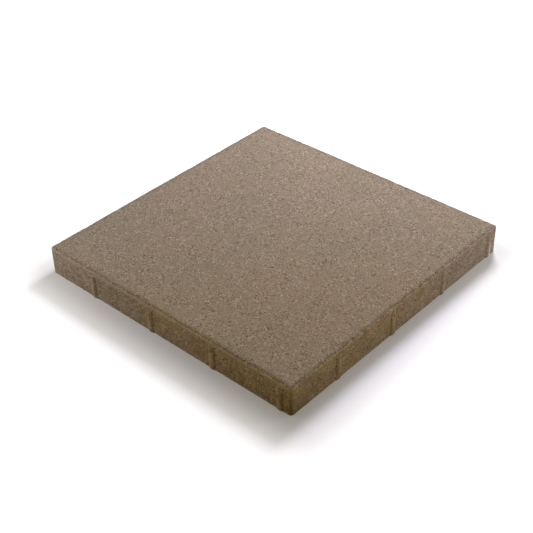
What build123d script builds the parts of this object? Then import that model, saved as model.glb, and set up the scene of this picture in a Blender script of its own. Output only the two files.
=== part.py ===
from build123d import *
import os

# Concrete paving slab, lying on its bedding face with the walking face up.
# Millimetres, +Z up, origin in the middle of the bedding face, the four sides square to X and Y.

# The casting
FACE_SIDE = 398.5  # from one side face to the opposite one, nibs left out
THICKNESS = 40.0  # bedding face to walking face
ARRIS = 2.0  # bevel round the walking face, both across it and down the side
FACE_CORNER_RADIUS = 1.5  # upright corner, where it meets the walking face
SIDE_TURNS = (0.0, 90.0, 180.0, 270.0)  # degrees, the sides in order going anticlockwise from the front one

# The spacer nibs, set off centre the same way round on every side so that neighbours' nibs pass each other
NIBS_PER_SIDE = 4
FIRST_NIB = 79.5  # corner where a side starts, going anticlockwise, to the middle of its first nib
LAST_NIB = 17.0  # middle of the last nib to the corner where the side ends
NIB_WIDTH = 10.0  # along the side, where the nib meets it
NIB_REACH = 1.5  # crest of the nib out from the side face
NIB_DROP = 6.5  # walking face down to the top of the nib
NIB_NOSE = 3.0  # height of the slope that runs from the nib's crest back to the side

# What follows from them
half_side = FACE_SIDE / 2
corner_radius = FACE_CORNER_RADIUS + ARRIS
nib_pitch = (FACE_SIDE - FIRST_NIB - LAST_NIB) / (NIBS_PER_SIDE - 1)
nib_radius = ((NIB_WIDTH / 2) ** 2 + NIB_REACH**2) / (2 * NIB_REACH)
nib_top = THICKNESS - NIB_DROP
nib_root_top = THICKNESS - NIB_DROP / 2


def casting():
    """The square block with the arris taken off all round its walking face."""
    block = extrude(RectangleRounded(FACE_SIDE, FACE_SIDE, corner_radius), THICKNESS)
    walking_face = block.faces().sort_by(Axis.Z)[-1]
    return chamfer(walking_face.edges(), ARRIS)


def front_nib():
    """One nib at the middle of the front side: a round pin sunk into the casting, sloped off at its top."""
    pin = Cylinder(nib_radius, nib_root_top, align=(Align.CENTER, Align.CENTER, Align.MIN))
    pin = Pos(0, nib_radius - NIB_REACH - half_side, 0) * pin
    nose = Plane(origin=(0, -half_side, nib_top), x_dir=(1, 0, 0), z_dir=(0, -NIB_NOSE, NIB_REACH))
    return split(pin, bisect_by=nose, keep=Keep.BOTTOM)


def paving_slab():
    """The casting with its nibs on all four sides, as one solid."""
    nib = front_nib()
    nibs = []
    for turn in SIDE_TURNS:
        for place in range(NIBS_PER_SIDE):
            along = FIRST_NIB + place * nib_pitch - half_side
            nibs.append(Rot(0, 0, turn) * Pos(along, 0, 0) * nib)
    return (casting() + nibs).solid()


os.makedirs("parts", exist_ok=True)
export_step(paving_slab(), "parts/paving_slab.step")
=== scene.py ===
"""A concrete paving slab: the casting with its arris and nibs, its finish, and the studio round it."""

import logging
import math
from dataclasses import dataclass
from enum import Enum
from typing import Callable, Dict, Sequence, Tuple, Union

import bmesh
import bpy
from mathutils import Matrix, Vector


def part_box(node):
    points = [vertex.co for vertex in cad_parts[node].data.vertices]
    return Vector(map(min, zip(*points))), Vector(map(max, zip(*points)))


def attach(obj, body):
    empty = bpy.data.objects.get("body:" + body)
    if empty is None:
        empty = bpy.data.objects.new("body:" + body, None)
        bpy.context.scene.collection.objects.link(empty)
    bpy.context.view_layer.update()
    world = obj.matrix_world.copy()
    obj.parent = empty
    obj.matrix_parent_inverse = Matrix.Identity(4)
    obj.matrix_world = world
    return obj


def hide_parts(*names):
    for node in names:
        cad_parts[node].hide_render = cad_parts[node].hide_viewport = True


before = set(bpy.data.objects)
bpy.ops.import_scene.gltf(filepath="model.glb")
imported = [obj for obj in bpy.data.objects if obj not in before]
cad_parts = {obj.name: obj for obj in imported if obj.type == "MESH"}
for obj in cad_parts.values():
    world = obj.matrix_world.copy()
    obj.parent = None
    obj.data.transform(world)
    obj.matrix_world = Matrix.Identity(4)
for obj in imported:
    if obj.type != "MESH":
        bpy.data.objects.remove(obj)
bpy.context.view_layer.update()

Socket = bpy.types.NodeSocket
Feed = Union[float, Tuple[float, ...], Socket]
Colour = Tuple[float, float, float, float]
Triple = Tuple[float, float, float]
Band = Tuple[float, float]

# Lengths are in metres
MM = 0.001
PICTURE_SIDE = 533.0
SENSOR_WIDTH = 36.0

# Levels that a ramp runs between
RISING: Band = (0.0, 1.0)
FALLING: Band = (1.0, 0.0)
HALF = 0.5

# A mix node's sockets for colours
MIX_INPUTS = (0, 6, 7)
MIX_OUTPUT = 2

ORIGIN: Triple = (0.0, 0.0, 0.0)
UP: Triple = (0.0, 0.0, 1.0)
SIDES = 4

# How near to a place a point counts as being there
MERGE = 0.005 * MM
TOUCH = 0.01 * MM
BORDER_SLACK = 0.1 * MM

WHITE: Colour = (1.0, 1.0, 1.0, 1.0)
# Painted shade: the dark laid in the blow holes and on the arris slope
PAINTED_SHADE_BROWN: Colour = (0.090, 0.066, 0.042, 1.0)
# Pale wear and painted highlight, on the nib crests and the arris foot
PALE_WEAR_AND_HIGHLIGHT: Colour = (0.455, 0.335, 0.222, 1.0)

log = logging.getLogger("paving_slab")


class Step(Enum):
    """The sums that the wiring can do on values."""

    ADD = "ADD"
    TAKE = "SUBTRACT"
    TIMES = "MULTIPLY"
    LARGER = "MAXIMUM"
    SIZE = "ABSOLUTE"
    BELOW = "LESS_THAN"


class Blend(Enum):
    """The ways one colour is laid over another."""

    COVER = "MIX"
    TINT = "MULTIPLY"


class Wiring:
    """Adds nodes to one node tree and joins them up."""

    def __init__(self, tree: bpy.types.NodeTree) -> None:
        """Takes over the node tree of a material, a world or a modifier, and clears it."""
        self.tree = tree
        tree.nodes.clear()

    def node(self, kind: str, **settings: object) -> bpy.types.Node:
        """Adds one node.

        Args:
            kind: the kind of node, by its full name.
            settings: the node's properties, by name.

        Returns:
            The new node.
        """
        node = self.tree.nodes.new(kind)
        for name, value in settings.items():
            setattr(node, name, value)
        return node

    def feed(self, socket: Socket, value: Feed) -> None:
        """Joins an output to an input, or sets the input's own value.

        Args:
            socket: the input.
            value: the output that feeds it, or the value it keeps.
        """
        if isinstance(value, bpy.types.NodeSocket):
            self.tree.links.new(value, socket)
        else:
            socket.default_value = value

    def feed_all(self, node: bpy.types.Node, values: Dict[str, Feed]) -> None:
        """Feeds several inputs of a node, by name."""
        for name, value in values.items():
            self.feed(node.inputs[name], value)

    def sum(self, step: Step, *values: Feed) -> Socket:
        """Does one sum.

        Args:
            step: which sum.
            values: one or two values or outputs.

        Returns:
            The result's output.
        """
        node = self.node("ShaderNodeMath", operation=step.value)
        for socket, value in zip(node.inputs, values):
            self.feed(socket, value)
        return node.outputs[0]

    def product(self, first: Feed, *others: Feed) -> Feed:
        """Multiplies values, one after the other.

        Args:
            first: a value or output.
            others: what it is multiplied by.

        Returns:
            The result's output.
        """
        result = first
        for other in others:
            result = self.sum(Step.TIMES, result, other)
        return result

    def ramp(self, value: Feed, band: Band, levels: Band = RISING) -> Socket:
        """Runs smoothly from one level to another while a value crosses a band.

        Args:
            value: what is read.
            band: where the band begins and where it ends.
            levels: the level below the band and the level above it.

        Returns:
            The level's output.
        """
        node = self.node("ShaderNodeMapRange", interpolation_type="SMOOTHSTEP")
        for socket, setting in zip(node.inputs, (value, *band, *levels)):
            self.feed(socket, setting)
        return node.outputs[0]

    def between(self, share: Socket, none: float, full: float) -> Socket:
        """Runs smoothly from one level, where a share is 0, to another, where it is 1."""
        return self.ramp(share, (0.0, 1.0), (none, full))

    def axes(self, place: Socket) -> Tuple[Socket, ...]:
        """Takes a point apart.

        Args:
            place: the point.

        Returns:
            Its three coordinates.
        """
        node = self.node("ShaderNodeSeparateXYZ")
        self.feed(node.inputs[0], place)
        return tuple(node.outputs)

    def cells(self, place: Socket, cells: float) -> Tuple[Socket, Socket]:
        """Strews points at random, about one to a cell.

        Args:
            place: where it is read.
            cells: cells to the metre.

        Returns:
            The distance to the nearest point, in cells, and that point's own chance number.
        """
        node = self.node("ShaderNodeTexVoronoi")
        self.feed_all(node, {"Vector": place, "Scale": cells})
        return node.outputs["Distance"], self.axes(node.outputs["Color"])[0]

    def lay(self, blend: Blend, share: Feed, under: Feed, over: Feed) -> Socket:
        """Lays one colour over another.

        Args:
            blend: in which way.
            share: how much of it, from 0 to 1.
            under: the colour below.
            over: the colour laid on.

        Returns:
            The mixed colour's output.
        """
        node = self.node("ShaderNodeMix", data_type="RGBA", blend_type=blend.value)
        for number, value in zip(MIX_INPUTS, (share, under, over)):
            self.feed(node.inputs[number], value)
        return node.outputs[MIX_OUTPUT]


@dataclass(frozen=True)
class Spot:
    """A point of the slab in one node tree, as outputs that tell where it lies.

    Attributes:
        wiring: the tree that it belongs to.
        front: inset from the front side face.
        right: inset from the right side face.
        inset: inset from the nearest side face, below zero on the nibs.
        height: height over the ground.
        depth: depth below the walking face.
        walking: 1 on the walking face and 0 on the sides.
        corner: 1 at the corner of the front and right sides, 0 across the middle, -1 opposite.
    """

    wiring: Wiring
    place: Socket
    front: Socket
    right: Socket
    inset: Socket
    height: Socket
    depth: Socket
    walking: Socket
    corner: Socket


@dataclass(frozen=True)
class Noise:
    """Cloudy noise: lumps to the metre, how many finer layers lie on them, and how strong those are."""

    cells: float
    layers: float
    strength: float = 0.5

    def level(self, spot: Spot) -> Socket:
        """Reads the noise, from 0 to 1.

        Args:
            spot: the point.

        Returns:
            The noise's output.
        """
        node = spot.wiring.node("ShaderNodeTexNoise")
        settings = {"Scale": self.cells, "Detail": self.layers, "Roughness": self.strength}
        spot.wiring.feed_all(node, {"Vector": spot.place, **settings})
        return node.outputs[0]

    def swing(self, spot: Spot) -> Socket:
        """Reads the noise as a swing about zero."""
        return spot.wiring.sum(Step.TAKE, self.level(spot), HALF)


@dataclass(frozen=True)
class Patches:
    """Noise drawn out into patches: the band of it that makes their borders, and the levels out and in."""

    noise: Noise
    band: Band
    levels: Band = RISING

    def level(self, spot: Spot) -> Socket:
        """Reads the level at a point."""
        return spot.wiring.ramp(self.noise.level(spot), self.band, self.levels)


@dataclass(frozen=True)
class Places:
    """Tells where a point lies on the slab, from its coordinates alone, for relief and finish alike.

    Attributes:
        face_end: where on the arris the walking face ends, as a share of its height.
        side_start: where the sides begin, in the same way.
    """

    half_side: float
    thickness: float
    arris: float
    face_end: float = 0.25
    side_start: float = 0.9

    def spot(self, wiring: Wiring, place: Socket) -> Spot:
        """Finds out where a point lies.

        Args:
            wiring: the tree to add to.
            place: the point.

        Returns:
            The point with its outputs.
        """
        x, y, height = wiring.axes(place)
        reach = wiring.sum(Step.LARGER, wiring.sum(Step.SIZE, x), wiring.sum(Step.SIZE, y))
        depth = wiring.sum(Step.TAKE, self.thickness, height)
        band = (self.face_end * self.arris, self.side_start * self.arris)
        return Spot(
            wiring=wiring,
            place=place,
            front=wiring.sum(Step.ADD, y, self.half_side),
            right=wiring.sum(Step.TAKE, self.half_side, x),
            inset=wiring.sum(Step.TAKE, self.half_side, reach),
            height=height,
            depth=depth,
            walking=wiring.ramp(depth, band, FALLING),
            corner=self.corner(wiring, x, y),
        )

    def corner(self, wiring: Wiring, x: Socket, y: Socket) -> Socket:
        """Tells how near the front corner is."""
        return wiring.product(wiring.sum(Step.TAKE, x, y), HALF / self.half_side)

    def rim(self, spot: Spot, spread: float) -> Socket:
        """Gives 1 on the arris, fading to 0 on the faces beside it.

        Args:
            spot: the point.
            spread: how far past the arris the fade runs.

        Returns:
            The share's output.
        """
        wiring = spot.wiring
        off = wiring.sum(Step.ADD, spot.depth, spot.inset)
        return wiring.ramp(off, (self.arris, self.arris + spread), FALLING)


@dataclass(frozen=True)
class Relief:
    """The concrete's own roughness: sand grain, blow holes, a crumbled arris and broken nib tops.

    Attributes:
        side_grain: the grain's share on the sides.
        pit_radius: radius of a blow hole, in cells.
        nib_inset: where the nibs stand clear of the side face.
        nose_gap: top of a nib down to where its break begins to fade.
        nose_share: the crumbling's share at the nibs' tops.
        foot_height: where the roughness sets in over the ground.
    """

    grain: Noise = Noise(330.0, 2.0, 0.6)
    grain_height: float = 0.38 * MM
    side_grain: float = 0.75
    swell: Noise = Noise(13.0, 1.0)
    swell_height: float = 0.5 * MM
    pit_cells: float = 120.0
    pit_chance: float = 0.15
    pit_radius: float = 0.19
    pit_depth: float = 0.8 * MM
    crumble: Patches = Patches(Noise(150.0, 2.0, 0.6), (0.48, 0.72))
    crumble_depth: float = 0.8 * MM
    crumble_spread: float = 3.0 * MM
    nib_inset: Band = (-0.8 * MM, -0.2 * MM)
    nose_gap: float = 1.0 * MM
    nose_share: float = 0.8
    foot_height: Band = (0.3 * MM, 2.5 * MM)

    def pits(self, spot: Spot) -> Socket:
        """Strews blow holes over the slab.

        Args:
            spot: the point.

        Returns:
            An output that is 1 at the bottom of a hole and 0 outside it.
        """
        wiring = spot.wiring
        off, chance = wiring.cells(spot.place, self.pit_cells)
        bowl = wiring.ramp(off, (0.0, self.pit_radius), FALLING)
        return wiring.product(bowl, wiring.sum(Step.BELOW, chance, self.pit_chance))


@dataclass(frozen=True)
class WalkingSkin:
    """The walking face's colour: rose and olive clouds, greyer patches, and a warm painted-shade tint
    towards the front corner.
    """

    rose: Colour = (0.296, 0.230, 0.191, 1.0)
    olive: Colour = (0.277, 0.222, 0.180, 1.0)
    grey: Colour = (0.283, 0.227, 0.195, 1.0)
    # Painted shade: a warm tint that stands for the shade by the front corner
    painted_shade_tint: Colour = (1.005, 0.977, 0.905, 1.0)
    rose_cloud: Band = (0.35, 0.65)
    grey_patches: Patches = Patches(Noise(34.0, 2.0, 0.6), (0.4, 0.7), (0.0, 0.6))
    painted_shade_near: Band = (-0.35, 0.65)

    def colour(self, spot: Spot, cloud: Socket, near: Socket) -> Socket:
        """Mixes the colour.

        Args:
            spot: the point.
            cloud: the clouds' level.
            near: how near the front corner is.

        Returns:
            The colour's output.
        """
        wiring = spot.wiring
        colour = wiring.lay(Blend.COVER, wiring.ramp(cloud, self.rose_cloud), self.olive, self.rose)
        colour = wiring.lay(Blend.COVER, self.grey_patches.level(spot), colour, self.grey)
        # Painted shade: warmer towards the front corner
        return wiring.lay(Blend.TINT, wiring.ramp(near, self.painted_shade_near), colour, self.painted_shade_tint)


@dataclass(frozen=True)
class SideSkin:
    """The sides' colour: blotched browns, with painted shade darker towards the foot, a painted contact
    shadow at the foot of the front corner, and a greyer painted-light tint away from it.

    Attributes:
        painted_foot_shade: painted shade, how far the blotches lean to dark at the foot, and to brown at
            the top.
        painted_foot_shade_far: how much of that painted shade is left away from the front corner.
    """

    brown: Colour = (0.367, 0.257, 0.160, 1.0)
    dark: Colour = (0.290, 0.203, 0.118, 1.0)
    # Painted contact shadow at the foot of the front corner
    contact_shadow_tint: Colour = (0.80, 0.77, 0.70, 1.0)
    # Painted light: a cooler tint for the sides away from the front corner
    painted_light_tint: Colour = (0.92, 1.0, 1.36, 1.0)
    blotches: Noise = Noise(62.0, 3.0, 0.65)
    blotch_band: Band = (0.31, 0.69)
    foot_height: Band = (2.0 * MM, 36.0 * MM)
    painted_foot_shade: float = 0.07
    painted_foot_shade_far: float = 0.1
    contact_shadow_height: Band = (3.0 * MM, 30.0 * MM)
    contact_shadow_near: Band = (0.86, 1.0)
    painted_light_near: Band = (0.05, 0.85)

    def colour(self, spot: Spot, near: Socket) -> Socket:
        """Mixes the colour.

        Args:
            spot: the point.
            near: how near the front corner is.

        Returns:
            The colour's output.
        """
        wiring = spot.wiring
        # Painted shade: the blotches lean darker towards the foot and lighter towards the top, most by the
        # front corner
        sunk = wiring.ramp(spot.height, self.foot_height, (self.painted_foot_shade, -self.painted_foot_shade))
        sunk = wiring.product(sunk, wiring.between(near, self.painted_foot_shade_far, 1.0))
        blotch = wiring.sum(Step.ADD, self.blotches.level(spot), sunk)
        colour = wiring.lay(Blend.COVER, wiring.ramp(blotch, self.blotch_band), self.brown, self.dark)
        # Painted contact shadow: darker low down by the front corner
        low = wiring.ramp(spot.height, self.contact_shadow_height, FALLING)
        contact_shadow = wiring.product(low, wiring.ramp(near, self.contact_shadow_near))
        return wiring.lay(Blend.TINT, contact_shadow, colour, self.contact_shadow_tint)

    def grey(self, spot: Spot, near: Socket, colour: Socket) -> Socket:
        """Paints light on the sides away from the front corner, as a greyer, cooler tint.

        Args:
            spot: the point.
            near: how near the front corner is.
            colour: the colour so far.

        Returns:
            The colour with its painted light.
        """
        wiring = spot.wiring
        # Painted light: the sides greyer away from the front corner, the walking face left out
        far = wiring.ramp(near, self.painted_light_near, FALLING)
        far = wiring.product(far, wiring.sum(Step.TAKE, 1.0, spot.walking))
        return wiring.lay(Blend.TINT, far, colour, self.painted_light_tint)


@dataclass(frozen=True)
class SandGrain:
    """The concrete's sand: packed grains, a few of them pale or dark, in rougher and calmer patches.

    Attributes:
        plain_lean: how far a plain grain leans to dark or pale.
        odd_lean: how much farther the few odd ones do.
        pale_gain: how much stronger pale shows than dark.
    """

    dark: Colour = (0.50, 0.44, 0.33, 1.0)
    pale: Colour = (1.50, 1.56, 1.67, 1.0)
    grain_cells: float = 560.0
    grain_share: float = 0.52
    plain_lean: float = 0.1
    odd_lean: float = 0.9
    fine: Noise = Noise(620.0, 1.0)
    fine_share: float = 1.2
    patches: Patches = Patches(Noise(55.0, 1.0), (0.3, 0.7), (0.65, 1.35))
    face_strength: float = 1.0
    side_strength: float = 1.2
    pale_gain: float = 0.36

    def tint(self, spot: Spot) -> Socket:
        """Mottles the concrete with its sand.

        Args:
            spot: the point.

        Returns:
            A colour about white to tint the concrete with.
        """
        wiring = spot.wiring
        _, chance = wiring.cells(spot.place, self.grain_cells)
        lean = wiring.sum(Step.TAKE, wiring.product(chance, 2.0), 1.0)
        square = wiring.product(lean, lean)
        odd = wiring.product(square, square, self.odd_lean)
        sand = wiring.product(lean, wiring.sum(Step.ADD, odd, self.plain_lean))
        fine = wiring.product(self.fine.swing(spot), self.fine_share)
        both = wiring.sum(Step.ADD, fine, wiring.product(sand, self.grain_share))
        strength = wiring.between(spot.walking, self.side_strength, self.face_strength)
        share = wiring.product(self.patches.level(spot), strength)
        lift = wiring.product(both, share)
        gain = wiring.sum(Step.ADD, wiring.product(lift, self.pale_gain), 1.0)
        level = wiring.sum(Step.ADD, wiring.product(lift, gain), HALF)
        return wiring.lay(Blend.COVER, level, self.dark, self.pale)


@dataclass(frozen=True)
class ArrisShadeAndHighlight:
    """The arris: its slope is dark, partly painted shade and partly its broken crumbs, and a paler line
    along its foot is a painted highlight, clearest in front.

    Attributes:
        front_inset: where the front side's own painted shade and highlight end.
        front_squeeze: how much narrower the slope's dark is on the front side.
        side_squeeze: the same on the other sides.
        far_squeeze: the same on the far sides, on top of the last.
        far_corner: where the near sides give way to the far ones.
        front_breaks: the breaks' share on the front side.
        side_line: the line's share on the other sides.
    """

    # Painted shade on the arris slope, with the broken edge's dark
    slope: Colour = PAINTED_SHADE_BROWN
    # Painted highlight along the arris foot
    line: Colour = PALE_WEAR_AND_HIGHLIGHT
    front_inset: Band = (6.0 * MM, 9.0 * MM)
    front_squeeze: float = 1.6
    side_squeeze: float = 0.93
    far_squeeze: float = 0.66
    far_corner: Band = (-0.04, 0.0)
    slope_inset: Band = (2.0 * MM, 6.0 * MM)
    slope_depth: Band = (1.4 * MM, 1.9 * MM)
    breaks: Patches = Patches(Noise(210.0, 2.0, 0.6), (0.35, 0.7), (0.1, 0.55))
    front_breaks: float = 0.35
    line_top: Band = (1.7 * MM, 2.6 * MM)
    line_bottom: Band = (2.9 * MM, 7.8 * MM)
    line_inset: Band = (0.6 * MM, 1.6 * MM)
    line_patches: Patches = Patches(Noise(60.0, 2.0), (0.3, 0.62), (0.6, 1.0))
    side_line: float = 0.12

    def lay(self, spot: Spot, colour: Socket) -> Socket:
        """Lays the slope's painted shade and the line's painted highlight over the concrete.

        Args:
            spot: the point.
            colour: the colour so far.

        Returns:
            The colour with the arris.
        """
        wiring = spot.wiring
        front = wiring.ramp(spot.front, self.front_inset, FALLING)
        colour = wiring.lay(Blend.COVER, self._slope(spot, front), colour, self.slope)
        return wiring.lay(Blend.COVER, self._line(spot, front), colour, self.line)

    def _slope(self, spot: Spot, front: Socket) -> Socket:
        """Says how strong the slope's painted shade is, ragged where the edge is broken.

        Args:
            spot: the point.
            front: 1 on the front side.

        Returns:
            The share's output.
        """
        wiring = spot.wiring
        near = wiring.between(front, self.side_squeeze, self.front_squeeze)
        far = wiring.ramp(spot.corner, self.far_corner, (self.far_squeeze, 1.0))
        edge = wiring.ramp(wiring.product(spot.inset, near, far), self.slope_inset, FALLING)
        slope = wiring.product(edge, wiring.ramp(spot.depth, self.slope_depth, FALLING))
        breaks = self.breaks.level(spot)
        ragged = wiring.product(breaks, wiring.between(front, 1.0, self.front_breaks))
        return wiring.product(slope, ragged)

    def _line(self, spot: Spot, front: Socket) -> Socket:
        """Says how clear the line's painted highlight is.

        Args:
            spot: the point.
            front: 1 on the front side.

        Returns:
            The share's output.
        """
        wiring = spot.wiring
        above = wiring.ramp(spot.depth, self.line_top)
        below = wiring.ramp(spot.depth, self.line_bottom, FALLING)
        foot = wiring.product(above, below, below, wiring.ramp(spot.inset, self.line_inset, FALLING))
        clear = wiring.between(front, self.side_line, 1.0)
        return wiring.product(foot, clear, self.line_patches.level(spot))


@dataclass(frozen=True)
class CrestWearAndHighlight:
    """The nibs' crests, pale in patches below their sloped tops: partly rubbed wear, partly painted
    highlight.
    """

    # Partly rubbed wear, partly painted highlight on the crest
    pale_crest: Colour = PALE_WEAR_AND_HIGHLIGHT
    crest_inset: Band = (-1.45 * MM, -1.0 * MM)
    top_depth: Band = (9.0 * MM, 14.0 * MM)
    patches: Patches = Patches(Noise(45.0, 2.0), (0.4, 0.65), (0.0, 0.7))

    def lay(self, spot: Spot, colour: Socket) -> Socket:
        """Lays the pale crests, partly wear and partly painted highlight.

        Args:
            spot: the point.
            colour: the colour so far.

        Returns:
            The colour with the crests.
        """
        wiring = spot.wiring
        crest = wiring.ramp(spot.inset, self.crest_inset, FALLING)
        low = wiring.ramp(spot.depth, self.top_depth)
        share = wiring.product(crest, low, self.patches.level(spot))
        return wiring.lay(Blend.COVER, share, colour, self.pale_crest)


@dataclass(frozen=True)
class PaleStreak:
    """One pale streak, up the lower flank of the right side's last nib.

    Attributes:
        from_front: front side face to the middle of the streak.
        skin: depth of the right side's surface.
        half_widths: at the foot and at the top of the taper.
        border: how soft the edge is, about the half width.
    """

    pale: Colour = (0.66, 0.60, 0.60, 1.0)
    cover: float = 0.95
    from_front: float = 384.85 * MM
    skin: float = 0.5 * MM
    taper_height: Band = (0.0, 22.0 * MM)
    half_widths: Band = (3.2 * MM, 1.8 * MM)
    border: Band = (-1.2 * MM, 0.4 * MM)
    top_height: Band = (15.0 * MM, 24.0 * MM)
    wander: Noise = Noise(90.0, 1.0)
    wander_reach: float = 3.0 * MM

    def lay(self, spot: Spot, colour: Socket) -> Socket:
        """Lays the pale streak on the nib.

        Args:
            spot: the point.
            colour: the colour so far.

        Returns:
            The colour with the streak.
        """
        wiring = spot.wiring
        right = wiring.sum(Step.BELOW, spot.right, self.skin)
        half_width = wiring.ramp(spot.height, self.taper_height, self.half_widths)
        wander = wiring.product(self.wander.swing(spot), self.wander_reach)
        off = wiring.sum(Step.TAKE, spot.front, self.from_front)
        off = wiring.sum(Step.SIZE, wiring.sum(Step.ADD, off, wander))
        band = wiring.ramp(wiring.sum(Step.TAKE, off, half_width), self.border, FALLING)
        low = wiring.ramp(spot.height, self.top_height, FALLING)
        share = wiring.product(band, low, right, self.cover)
        return wiring.lay(Blend.COVER, share, colour, self.pale)


@dataclass(frozen=True)
class ConcreteFinish:
    """Pressed concrete, pigmented brown, with a paler skin on the walking face."""

    name: str = "pressed_concrete"
    walking_skin: WalkingSkin = WalkingSkin()
    side_skin: SideSkin = SideSkin()
    sand: SandGrain = SandGrain()
    arris_shade_and_highlight: ArrisShadeAndHighlight = ArrisShadeAndHighlight()
    crest_wear_and_highlight: CrestWearAndHighlight = CrestWearAndHighlight()
    pale_streak: PaleStreak = PaleStreak()
    clouds: Noise = Noise(16.0, 2.0)
    cloud_band: Band = (0.3, 0.7)
    cloud_push: float = 0.12
    # Painted shade in the blow holes
    hole: Colour = PAINTED_SHADE_BROWN
    pit_shade_share: float = 0.4
    fine: Noise = Noise(900.0, 2.0, 0.6)
    face_bump: float = 0.8
    side_bump: float = 0.65
    bump_height: float = 0.5 * MM
    fine_band: Band = (0.2, 0.8)
    roughness: Band = (0.87, 0.98)
    gloss: float = 0.2

    def material(self, places: Places, relief: Relief) -> bpy.types.Material:
        """Makes the material.

        Args:
            places: tells the faces of the slab apart.
            relief: the mesh's roughness, which the colour follows.

        Returns:
            The new material.
        """
        material = bpy.data.materials.new(self.name)
        material.use_nodes = True
        wiring = Wiring(material.node_tree)
        place = wiring.node("ShaderNodeTexCoord").outputs["Object"]
        spot = places.spot(wiring, place)
        cloud = self.clouds.level(spot)
        push = wiring.ramp(cloud, self.cloud_band, (-self.cloud_push, self.cloud_push))
        # Nearness to the front corner, pushed about by the clouds; it places the painted shade and the
        # painted light
        near = wiring.sum(Step.ADD, spot.corner, push)
        # The sides carry painted shade towards the foot and a painted contact shadow by the front corner
        side = self.side_skin.colour(spot, near)
        face = self.walking_skin.colour(spot, cloud, near)
        colour = wiring.lay(Blend.COVER, spot.walking, side, face)
        colour = wiring.lay(Blend.TINT, 1.0, colour, self.sand.tint(spot))
        # Painted shade: the blow holes darkened
        holes = wiring.product(relief.pits(spot), self.pit_shade_share)
        colour = wiring.lay(Blend.COVER, holes, colour, self.hole)
        # Painted shade on the arris slope and painted highlight along its foot
        colour = self.arris_shade_and_highlight.lay(spot, colour)
        # Pale nib crests: partly wear, partly painted highlight
        colour = self.crest_wear_and_highlight.lay(spot, colour)
        # Painted light on the sides away from the front corner
        colour = self.side_skin.grey(spot, near, colour)
        colour = self.pale_streak.lay(spot, colour)
        self._shade(spot, colour)
        return material

    def _shade(self, spot: Spot, colour: Socket) -> None:
        """Adds the fine bump and the shader, and joins them to the output.

        Args:
            spot: the point.
            colour: the finished colour.
        """
        wiring = spot.wiring
        fine = self.fine.level(spot)
        bump = wiring.node("ShaderNodeBump")
        strength = wiring.between(spot.walking, self.side_bump, self.face_bump)
        wiring.feed_all(bump, {"Strength": strength, "Distance": self.bump_height, "Height": fine})
        shader = wiring.node("ShaderNodeBsdfPrincipled")
        wiring.feed_all(shader, {
            "Base Color": colour,
            "Roughness": wiring.ramp(fine, self.fine_band, self.roughness),
            "Specular IOR Level": self.gloss,
            "Normal": bump.outputs["Normal"],
        })
        output = wiring.node("ShaderNodeOutputMaterial")
        wiring.feed(output.inputs["Surface"], shader.outputs["BSDF"])


@dataclass(frozen=True)
class RimRow:
    """One turn round the slab: its inset from the side faces and its depth below the walking face."""

    inset: float
    depth: float


def rim_rows(*rows: Band) -> Tuple[RimRow, ...]:
    """Makes rows from pairs of inset and depth, in millimetres."""
    return tuple(RimRow(inset * MM, depth * MM) for inset, depth in rows)


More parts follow.
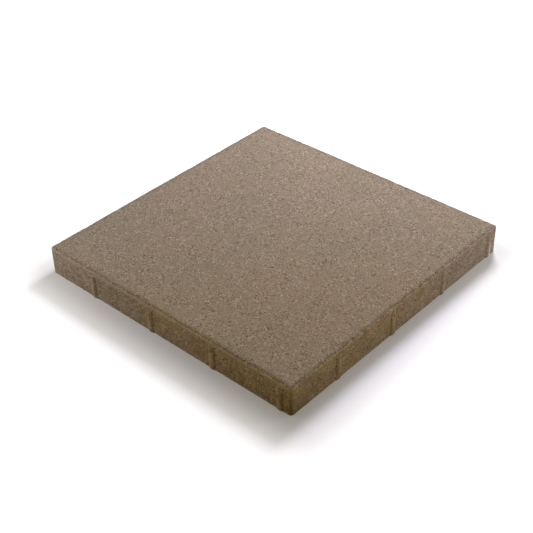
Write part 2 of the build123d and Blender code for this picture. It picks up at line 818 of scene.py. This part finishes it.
@dataclass
class PavingSlab:
    """The slab: a square casting with a bevelled arris, and half-round nibs that keep its neighbours off.

    Attributes:
        face_side: from one side face to the opposite one, nibs left out.
        face_corner_radius: the upright corner's radius where it meets the walking face.
        first_nib: corner where a side starts, going anticlockwise, to the middle of its first nib.
        last_nib: middle of the last nib to the corner where the side ends.
        nib_width: along the side, where the nib meets it.
        nib_reach: crest of the nib out from the side face.
        nib_drop: walking face down to the top of the nib.
        nib_nose: height of the slope that runs from the nib's crest back to the side.
        smooth_angle: degrees, past which an edge shows sharp.
        tamper_shift: how far off the mould's middle the tamper came down.
        tamped_rows: the walking face's border, as the tamper pressed it.
        mould_rows: from the tamper's edge over the mould line and down the side.
    """

    face_side: float
    thickness: float
    arris: float = 2.0 * MM
    face_corner_radius: float = 1.5 * MM
    least_radius: float = 0.2 * MM
    nibs_per_side: int = 4
    first_nib: float = 79.5 * MM
    last_nib: float = 17.0 * MM
    nib_width: float = 10.0 * MM
    nib_reach: float = 1.5 * MM
    nib_drop: float = 6.5 * MM
    nib_nose: float = 3.0 * MM
    pin_sides: int = 64
    face_cells: int = 236
    side_row: float = 2.6 * MM
    smooth_angle: float = 40.0
    tamper_shift: Triple = (0.1 * MM, 0.15 * MM, 0.0)
    tamped_rows: Tuple[RimRow, ...] = rim_rows(
        (6.2, 0.0), (5.0, 0.1), (4.0, 0.26), (3.2, 0.48),
        (2.5, 0.76), (1.95, 1.08), (1.5, 1.45), (1.15, 1.85),
    )
    mould_rows: Tuple[RimRow, ...] = rim_rows(
        (0.9, 2.05), (0.35, 2.0), (0.05, 2.25),
        (0.0, 2.9), (0.0, 4.0), (0.0, 5.6), (0.0, 7.6),
    )

    @classmethod
    def from_box(cls, low: Vector, high: Vector) -> "PavingSlab":
        """Sizes the slab by its CAD box.

        Args:
            low: the box's lowest corner.
            high: the box's highest corner.

        Returns:
            A slab whose nibs touch the box.
        """
        return cls(face_side=high.x - low.x - 2 * cls.nib_reach, thickness=high.z - low.z)

    @property
    def half_side(self) -> float:
        """Middle of the slab to a side face."""
        return self.face_side / 2

    @property
    def places(self) -> Places:
        """Tells the slab's faces apart."""
        return Places(self.half_side, self.thickness, self.arris)

    def build(self, relief: Relief, finish: ConcreteFinish) -> bpy.types.Object:
        """Models the slab and dresses it.

        Args:
            relief: the concrete's roughness.
            finish: its material.

        Returns:
            The finished piece.
        """
        slab = self._casting()
        self._round_corners(slab)
        self._fuse(slab, self._nibs())
        self._clean(slab)
        self._roughen(slab, relief)
        bpy.ops.object.shade_smooth_by_angle(angle=math.radians(self.smooth_angle))
        slab.name = slab.data.name = "slab_casting"
        slab.data.materials.clear()
        slab.data.materials.append(finish.material(self.places, relief))
        log.info("slab skin: %d triangles", sum(len(face.vertices) - 2 for face in slab.data.polygons))
        return slab

    def _casting(self) -> bpy.types.Object:
        """Lays out the walking face as a grid, and draws its border over the arris and down the sides.

        Returns:
            The casting, closed, without nibs and with square upright corners.
        """
        first = self.tamped_rows[0]
        half_grid = self.half_side - first.inset
        bpy.ops.object.select_all(action="DESELECT")
        bpy.ops.mesh.primitive_grid_add(x_subdivisions=self.face_cells, y_subdivisions=self.face_cells,
                                        size=2 * half_grid, location=ORIGIN)
        casting = bpy.context.active_object
        bpy.ops.object.mode_set(mode="EDIT")
        bpy.ops.mesh.select_all(action="SELECT")
        bpy.ops.transform.translate(value=(0.0, 0.0, self.thickness))
        border = half_grid - BORDER_SLACK
        select_edges(casting, lambda one, two: on_border(one, two, border))
        last = first
        for row in self.tamped_rows[1:]:
            self._draw_border(last, row)
            last = row
        bpy.ops.mesh.select_all(action="SELECT")
        bpy.ops.transform.translate(value=self.tamper_shift)
        low = self.thickness - last.depth + TOUCH
        select_edges(casting, lambda one, two: max(one.z, two.z) < low)
        back = tuple(-part for part in self.tamper_shift)
        for row in self.mould_rows + self._side_rows():
            self._draw_border(last, row, back)
            back = ORIGIN
            last = row
        bpy.ops.mesh.edge_face_add()
        bpy.ops.mesh.select_all(action="SELECT")
        bpy.ops.mesh.normals_make_consistent(inside=False)
        bpy.ops.object.mode_set(mode="OBJECT")
        return casting

    def _side_rows(self) -> Tuple[RimRow, ...]:
        """Divides the rest of the side faces, down to the ground.

        Returns:
            The rows.
        """
        start = self.mould_rows[-1].depth
        count = round((self.thickness - start) / self.side_row)
        step = (self.thickness - start) / count
        return tuple(RimRow(0.0, start + step * (number + 1)) for number in range(count))

    def _draw_border(self, last: RimRow, row: RimRow, shift: Triple = ORIGIN) -> None:
        """Extrudes the selected border by one row.

        Args:
            last: where the border is.
            row: where it goes.
            shift: how far it moves sideways on the way.
        """
        grow = (self.half_side - row.inset) / (self.half_side - last.inset)
        drop = Vector(shift) - Vector((0.0, 0.0, row.depth - last.depth))
        bpy.ops.mesh.extrude_region_move(TRANSFORM_OT_translate={"value": drop})
        bpy.ops.transform.resize(value=(grow, grow, 1.0), center_override=ORIGIN)

    def _round_corners(self, casting: bpy.types.Object) -> None:
        """Draws the upright corners in to their radius, which shrinks over the arris.

        Args:
            casting: the casting with square corners.
        """
        mesh = bmesh.new()
        mesh.from_mesh(casting.data)
        for point in mesh.verts:
            spot = Vector((abs(point.co.x), abs(point.co.y)))
            reach = max(spot)
            radius = self.face_corner_radius + self.arris - (self.half_side - reach)
            radius = max(radius, self.least_radius)
            middle = Vector((reach - radius, reach - radius))
            over = spot - middle
            if min(over) > 0.0:
                spot = over.normalized() * radius + middle
                point.co.x = math.copysign(spot.x, point.co.x)
                point.co.y = math.copysign(spot.y, point.co.y)
        mesh.to_mesh(casting.data)
        mesh.free()

    def _nibs(self) -> bpy.types.Object:
        """Models one nib, and copies it along the front side and to the other sides.

        Returns:
            All the nibs, as one object.
        """
        nib = self._nib()
        pitch = (self.face_side - self.first_nib - self.last_nib) / (self.nibs_per_side - 1)
        row = [nib]
        for place in range(1, self.nibs_per_side):
            row.append(copy_of(nib))
            bpy.ops.transform.translate(value=(place * pitch, 0.0, 0.0))
            settle()
        front = join(row)
        sides = [front]
        for side in range(1, SIDES):
            sides.append(copy_of(front))
            turn = side * math.tau / SIDES
            bpy.ops.transform.rotate(value=turn, orient_axis="Z", center_override=ORIGIN)
            settle()
        return join(sides)

    def _nib(self) -> bpy.types.Object:
        """Models the front side's first nib: a round pin sunk into the casting, sloped off at its top.

        Returns:
            The nib.
        """
        radius = ((self.nib_width / 2) ** 2 + self.nib_reach**2) / (2 * self.nib_reach)
        top = self.thickness - self.nib_drop
        root_top = self.thickness - self.nib_drop / 2
        spot = (self.first_nib - self.half_side, radius - self.nib_reach - self.half_side, root_top / 2)
        bpy.ops.object.select_all(action="DESELECT")
        bpy.ops.mesh.primitive_cylinder_add(vertices=self.pin_sides, radius=radius, depth=root_top,
                                            location=spot)
        nib = bpy.context.active_object
        settle()
        bpy.ops.object.mode_set(mode="EDIT")
        bpy.ops.mesh.select_all(action="SELECT")
        slope = Vector((0.0, -self.nib_nose, self.nib_reach)).normalized()
        bpy.ops.mesh.bisect(plane_co=(0.0, -self.half_side, top), plane_no=slope,
                            use_fill=True, clear_outer=True)
        cuts = round(top / self.side_row)
        for cut in range(1, cuts):
            bpy.ops.mesh.select_all(action="SELECT")
            bpy.ops.mesh.bisect(plane_co=(0.0, 0.0, cut * top / cuts), plane_no=UP)
        bpy.ops.object.mode_set(mode="OBJECT")
        return nib

    def _fuse(self, slab: bpy.types.Object, nibs: bpy.types.Object) -> None:
        """Fuses the nibs to the casting.

        Args:
            slab: the casting.
            nibs: the nibs, which are used up.
        """
        modifier = slab.modifiers.new("fuse", "BOOLEAN")
        modifier.operation = "UNION"
        modifier.solver = "EXACT"
        modifier.object = nibs
        apply_modifier(slab, modifier)
        bpy.data.objects.remove(nibs)

    def _clean(self, slab: bpy.types.Object) -> None:
        """Merges doubled points, and makes the face on the ground one even fan.

        Args:
            slab: the casting with its nibs.
        """
        bpy.ops.object.mode_set(mode="EDIT")
        bpy.ops.mesh.select_all(action="SELECT")
        bpy.ops.mesh.remove_doubles(threshold=MERGE)
        bpy.ops.mesh.select_mode(type="FACE")
        bpy.ops.mesh.select_all(action="DESELECT")
        mesh = bmesh.from_edit_mesh(slab.data)
        for face in mesh.faces:
            if max(point.co.z for point in face.verts) < TOUCH:
                face.select_set(True)
        bmesh.update_edit_mesh(slab.data)
        bpy.ops.mesh.dissolve_faces(use_verts=False)
        bpy.ops.mesh.poke(center_mode="BOUNDS")
        bpy.ops.object.mode_set(mode="OBJECT")

    def _roughen(self, slab: bpy.types.Object, relief: Relief) -> None:
        """Raises the grain, and sinks the blow holes and the broken edges.

        Args:
            slab: the pressed slab.
            relief: how rough it becomes.
        """
        group = bpy.data.node_groups.new("roughen", "GeometryNodeTree")
        wiring = Wiring(group)
        for way in ("INPUT", "OUTPUT"):
            group.interface.new_socket("Skin", in_out=way, socket_type="NodeSocketGeometry")
        start = wiring.node("NodeGroupInput")
        end = wiring.node("NodeGroupOutput")
        spot = self.places.spot(wiring, wiring.node("GeometryNodeInputPosition").outputs[0])
        normal = wiring.node("GeometryNodeInputNormal").outputs[0]
        move = wiring.node("ShaderNodeVectorMath", operation="SCALE")
        wiring.feed(move.inputs[0], normal)
        wiring.feed(move.inputs["Scale"], self._lift(spot, relief))
        shift = wiring.node("GeometryNodeSetPosition")
        wiring.feed_all(shift, {"Geometry": start.outputs[0], "Offset": move.outputs[0]})
        wiring.feed(end.inputs[0], shift.outputs[0])
        modifier = slab.modifiers.new("roughen", "NODES")
        modifier.node_group = group
        apply_modifier(slab, modifier)
        bpy.data.node_groups.remove(group)

    def _lift(self, spot: Spot, relief: Relief) -> Socket:
        """Adds up how far each point moves out of the surface.

        Args:
            spot: the point.
            relief: how rough the slab becomes.

        Returns:
            The move's output, in metres, inwards where it is below zero.
        """
        wiring = spot.wiring
        share = wiring.between(spot.walking, relief.side_grain, 1.0)
        grain = wiring.product(relief.grain.swing(spot), share, relief.grain_height)
        swell = wiring.product(relief.swell.swing(spot), relief.swell_height)
        holes = wiring.product(relief.pits(spot), -relief.pit_depth)
        rim = self.places.rim(spot, relief.crumble_spread)
        nib = wiring.ramp(spot.inset, relief.nib_inset, FALLING)
        nose_band = (self.nib_drop + relief.nose_gap, self.nib_drop + 2 * self.nib_nose)
        nose = wiring.ramp(spot.depth, nose_band, (relief.nose_share, 0.0))
        edge = wiring.sum(Step.LARGER, rim, wiring.product(nib, nose))
        broken = wiring.product(relief.crumble.level(spot), edge, -relief.crumble_depth)
        lift = grain
        for part in (swell, holes, broken):
            lift = wiring.sum(Step.ADD, lift, part)
        return wiring.product(lift, wiring.ramp(spot.height, relief.foot_height))


@dataclass(frozen=True)
class SoftLamp:
    """A square soft box that faces the slab."""

    name: str
    spot: Triple
    side: float
    power: float
    colour: Triple = (1.0, 1.0, 1.0)

    def hang(self) -> None:
        """Hangs the lamp, turned to the middle of the slab."""
        bpy.ops.object.light_add(type="AREA", location=self.spot)
        lamp = bpy.context.active_object
        lamp.name = self.name
        lamp.data.shape = "SQUARE"
        lamp.data.size = self.side
        lamp.data.energy = self.power
        lamp.data.color = self.colour
        lamp.rotation_euler = (-Vector(self.spot)).to_track_quat("-Z", "Y").to_euler()
        lamp.visible_camera = False


@dataclass
class Studio:
    """A plain pale floor and soft light all round.

    Attributes:
        floor_drop: gap between the slab and the floor.
        floor_shade: the floor's colour as it lights the slab.
        floor_white: the floor's colour as it is seen.
        floor_shadow_tint: the same, by the front corner where the slab's shadow falls: a painted shadow
            colour.
        near_corner: where that begins and where it is full.
        shadow_reach: how far the painted shadow spreads from the slab, as the floor's glow rises.
        glow_reach: where the floor's glow is full.
        glow_near: the glow at the slab's foot, kept low there as painted shadow.
        glow_beside: the glow where the shadow ends.
    """

    places: Places
    floor_side: float = 12.0
    floor_drop: float = 0.02 * MM
    ambient: Colour = (0.265, 0.236, 0.136, 1.0)
    floor_shade: Colour = (0.387, 0.344, 0.149, 1.0)
    floor_white: Colour = (0.775, 0.765, 0.845, 1.0)
    floor_shadow_tint: Colour = (0.755, 0.74, 0.93, 1.0)
    near_corner: Band = (0.05, 0.6)
    shadow_reach: float = 80.0 * MM
    glow_reach: float = 0.5
    glow_near: float = 0.1
    glow_beside: float = 0.66
    glow_far: float = 1.0
    lamps: Tuple[SoftLamp, ...] = (
        SoftLamp("back_lamp", (-0.158, 0.668, 0.675), 0.28, 7.6),
        SoftLamp("left_lamp", (-0.474, -0.404, 0.149), 0.265, 1.10, (0.98, 1.0, 1.04)),
        SoftLamp("right_lamp", (0.631, 0.535, 0.10), 0.27, 2.0, (0.96, 1.0, 1.11)),
    )

    def build(self) -> None:
        """Lays the floor, hangs the lamps and sets the world."""
        self._floor()
        for lamp in self.lamps:
            lamp.hang()
            log.info("lamp: %s", lamp.name)
        self._world()

    def _seen(self, wiring: Wiring) -> Socket:
        """Gives 1 where the camera looks straight, by reflection or through glass.

        Args:
            wiring: the tree to add to.

        Returns:
            The share's output.
        """
        path = wiring.node("ShaderNodeLightPath")
        seen = wiring.sum(Step.LARGER, path.outputs["Is Camera Ray"], path.outputs["Is Glossy Ray"])
        return wiring.sum(Step.LARGER, seen, path.outputs["Is Transmission Ray"])

    def _away(self, wiring: Wiring, x: Socket, y: Socket) -> Socket:
        """Measures how far a point of the floor is from the slab.

        Args:
            wiring: the floor's tree.
            x: the point's first coordinate.
            y: its second one.

        Returns:
            The distance's output.
        """
        reach = wiring.node("ShaderNodeCombineXYZ")
        for socket, axis in zip(reach.inputs, (x, y)):
            off = wiring.sum(Step.TAKE, wiring.sum(Step.SIZE, axis), self.places.half_side)
            wiring.feed(socket, wiring.sum(Step.LARGER, off, 0.0))
        away = wiring.node("ShaderNodeVectorMath", operation="LENGTH")
        wiring.feed(away.inputs[0], reach.outputs[0])
        return away.outputs["Value"]

    def _glow(self, wiring: Wiring, away: Socket) -> Socket:
        """Makes up for the lamps' fall-off, so that the floor shows white away from the slab; kept dim by
        the slab, where it paints the shadow's depth and reach.

        Args:
            wiring: the floor's tree.
            away: the distance from the slab.

        Returns:
            The glow's output, which grows with the distance.
        """
        # Painted shadow: the glow is dimmest at the slab's foot and full where the shadow ends
        beside = wiring.ramp(away, (0.0, self.shadow_reach), (self.glow_near, self.glow_beside))
        far_band = (self.shadow_reach / 2, self.glow_reach)
        far = wiring.ramp(away, far_band, (0.0, self.glow_far - self.glow_beside))
        return wiring.sum(Step.ADD, beside, far)

    def _floor(self) -> None:
        """Lays a pale floor that shows white and keeps the slab's shadow."""
        bpy.ops.object.select_all(action="DESELECT")
        bpy.ops.mesh.primitive_plane_add(size=self.floor_side, location=(0.0, 0.0, -self.floor_drop))
        floor = bpy.context.active_object
        floor.name = "studio_floor"
        material = bpy.data.materials.new("studio_floor")
        material.use_nodes = True
        wiring = Wiring(material.node_tree)
        seen = self._seen(wiring)
        x, y, _ = wiring.axes(wiring.node("ShaderNodeTexCoord").outputs["Object"])
        away = self._away(wiring, x, y)
        # Painted shadow colour: the floor is seen bluer where the shadow falls by the front corner
        under = wiring.ramp(away, (0.0, 2 * self.shadow_reach), FALLING)
        near = wiring.ramp(self.places.corner(wiring, x, y), self.near_corner)
        pale = wiring.lay(Blend.COVER, wiring.product(under, near), self.floor_white, self.floor_shadow_tint)
        matt = wiring.node("ShaderNodeBsdfDiffuse")
        wiring.feed(matt.inputs["Color"], wiring.lay(Blend.COVER, seen, self.floor_shade, pale))
        glow = wiring.node("ShaderNodeEmission")
        wiring.feed(glow.inputs["Strength"], wiring.product(seen, self._glow(wiring, away)))
        both = wiring.node("ShaderNodeAddShader")
        wiring.feed(both.inputs[0], matt.outputs[0])
        wiring.feed(both.inputs[1], glow.outputs[0])
        output = wiring.node("ShaderNodeOutputMaterial")
        wiring.feed(output.inputs["Surface"], both.outputs[0])
        floor.data.materials.append(material)

    def _world(self) -> None:
        """Sets an even dim surround that shows white."""
        world = bpy.data.worlds.new("studio")
        world.use_nodes = True
        wiring = Wiring(world.node_tree)
        sky = wiring.node("ShaderNodeBackground")
        colour = wiring.lay(Blend.COVER, self._seen(wiring), self.ambient, WHITE)
        wiring.feed(sky.inputs["Color"], colour)
        output = wiring.node("ShaderNodeOutputWorld")
        wiring.feed(output.inputs["Surface"], sky.outputs[0])
        bpy.context.scene.world = world


@dataclass(frozen=True)
class Viewpoint:
    """Where the camera stands: over the slab's front corner, looking down on the walking face.

    Attributes:
        azimuth: degrees round from the front side towards the right one.
        elevation: degrees above the ground.
        roll: degrees that the camera leans.
        distance: from the slab's origin.
        right: how far right of the picture's middle the origin lies.
        up: how far above it.
    """

    azimuth: float = 42.854
    elevation: float = 36.735
    roll: float = -1.509
    distance: float = 1.39735
    right: float = 11.7 * MM
    up: float = 7.1 * MM
    focal_pixels: float = 1093.1

    def build(self) -> None:
        """Sets up the camera."""
        turn, rise, tilt = (math.radians(angle) for angle in (self.azimuth, self.elevation, self.roll))
        back = Vector((math.sin(turn) * math.cos(rise), -math.cos(turn) * math.cos(rise), math.sin(rise)))
        level = Vector((math.cos(turn), math.sin(turn), 0.0))
        plumb = back.cross(level)
        across = math.cos(tilt) * level + math.sin(tilt) * plumb
        upright = math.cos(tilt) * plumb - math.sin(tilt) * level
        eye = back * self.distance - across * self.right - upright * self.up
        bpy.ops.object.camera_add()
        camera = bpy.context.active_object
        camera.name = "camera"
        camera.data.sensor_width = SENSOR_WIDTH
        camera.data.lens = SENSOR_WIDTH * self.focal_pixels / PICTURE_SIDE
        stand = Matrix((across, upright, back)).transposed().to_4x4()
        camera.matrix_world = Matrix.Translation(eye) @ stand
        bpy.context.scene.camera = camera


def select_edges(piece: bpy.types.Object, test: Callable[[Vector, Vector], bool]) -> None:
    """Selects a piece's edges by the places of their ends, in edit mode.

    Args:
        piece: the object being edited.
        test: says by an edge's two ends whether it is wanted.
    """
    bpy.ops.mesh.select_mode(type="EDGE")
    bpy.ops.mesh.select_all(action="DESELECT")
    mesh = bmesh.from_edit_mesh(piece.data)
    for edge in mesh.edges:
        one, two = edge.verts
        if test(one.co, two.co):
            edge.select_set(True)
    bmesh.update_edit_mesh(piece.data)


def on_border(one: Vector, two: Vector, border: float) -> bool:
    """Says whether an edge lies along the border of the square face."""
    return min(abs(one.x), abs(two.x)) > border or min(abs(one.y), abs(two.y)) > border


def pick(pieces: Sequence[bpy.types.Object]) -> None:
    """Selects pieces and nothing else, the first of them as the active one.

    Args:
        pieces: the objects.
    """
    bpy.ops.object.select_all(action="DESELECT")
    for piece in pieces:
        piece.select_set(True)
    bpy.context.view_layer.objects.active = pieces[0]


def settle() -> None:
    """Puts the selected piece's place and turn into its mesh."""
    bpy.ops.object.transform_apply(location=True, rotation=True, scale=True)


def copy_of(piece: bpy.types.Object) -> bpy.types.Object:
    """Copies a piece with its own mesh, and leaves the copy selected.

    Args:
        piece: the object to copy.

    Returns:
        The copy.
    """
    pick([piece])
    bpy.ops.object.duplicate(linked=False)
    return bpy.context.active_object


def join(pieces: Sequence[bpy.types.Object]) -> bpy.types.Object:
    """Joins pieces into the first of them.

    Args:
        pieces: the objects.

    Returns:
        The joined object.
    """
    pick(pieces)
    bpy.ops.object.join()
    return pieces[0]


def apply_modifier(piece: bpy.types.Object, modifier: bpy.types.Modifier) -> None:
    """Applies one modifier of a piece, and leaves the piece selected."""
    pick([piece])
    bpy.ops.object.modifier_apply(modifier=modifier.name)


def main() -> None:
    """Builds the slab, the studio and the camera."""
    logging.basicConfig(level=logging.INFO)
    slab = PavingSlab.from_box(*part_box("paving_slab"))
    piece = slab.build(Relief(), ConcreteFinish())
    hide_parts("paving_slab")
    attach(piece, "root")
    log.info("piece: %s", piece.name)
    Studio(slab.places).build()
    Viewpoint().build()
    bpy.context.scene.view_settings.view_transform = "Standard"


if __name__ == "__main__":
    main()
